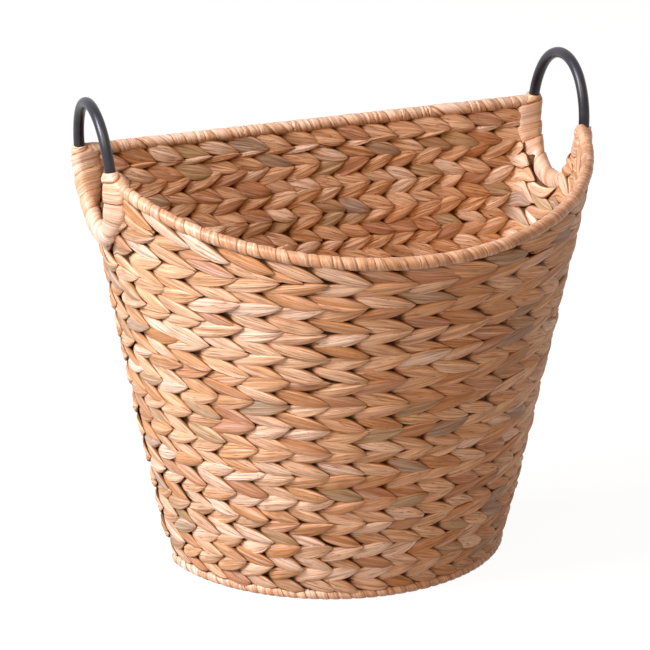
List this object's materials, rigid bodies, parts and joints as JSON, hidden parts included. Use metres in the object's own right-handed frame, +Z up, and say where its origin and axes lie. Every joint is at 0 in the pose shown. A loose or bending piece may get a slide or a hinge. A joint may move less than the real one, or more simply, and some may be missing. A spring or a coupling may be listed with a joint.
{
  "type": "woven laundry basket",
  "caption": "Tapered woven basket with a flat back, rounded front, dipped front rim and black oval hoop handles at the back corners, for carrying laundry.",
  "frame": {"origin": "floor under the middle of the basket's box", "axes": "+Z up, +Y towards the flat back, +X to the right seen from the front"},
  "size_m": [0.4744, 0.3026, 0.4518],
  "materials": {
    "woven_leaf": "dried plaited leaf, satin, with lengthwise fibres",
    "wound_leaf": "narrow dried leaf wound tight, satin",
    "black_tube": "satin black powder coat",
    "frame_wire": "brown coated steel wire"
  },
  "bodies": {
    "root": {"back_rim_binding": "wound_leaf", "back_rim_course": "woven_leaf", "back_rim_wire": "frame_wire", "back_row_14": "woven_leaf", "back_row_15": "woven_leaf", "back_stakes": "frame_wire", "base_binding": "wound_leaf", "base_cross_wires": "frame_wire", "base_ring_wire": "frame_wire", "base_row_1": "woven_leaf", "base_row_2": "woven_leaf", "base_row_3": "woven_leaf", "base_row_4": "woven_leaf", "base_row_5": "woven_leaf", "base_row_6": "woven_leaf", "base_row_7": "woven_leaf", "corner_stakes": "frame_wire", "front_rim_binding": "wound_leaf", "front_rim_course": "woven_leaf", "front_rim_wire": "frame_wire", "front_row_14": "woven_leaf", "front_row_15": "woven_leaf", "front_stakes": "frame_wire", "left_handle_hoop": "black_tube", "left_hoop_binding": "wound_leaf", "right_handle_hoop": "black_tube", "right_hoop_binding": "wound_leaf", "side_stakes": "frame_wire", "woven_row_01": "woven_leaf", "woven_row_02": "woven_leaf", "woven_row_03": "woven_leaf", "woven_row_04": "woven_leaf", "woven_row_05": "woven_leaf", "woven_row_06": "woven_leaf", "woven_row_07": "woven_leaf", "woven_row_08": "woven_leaf", "woven_row_09": "woven_leaf", "woven_row_10": "woven_leaf", "woven_row_11": "woven_leaf", "woven_row_12": "woven_leaf", "woven_row_13": "woven_leaf"}
  },
  "joints": []
}
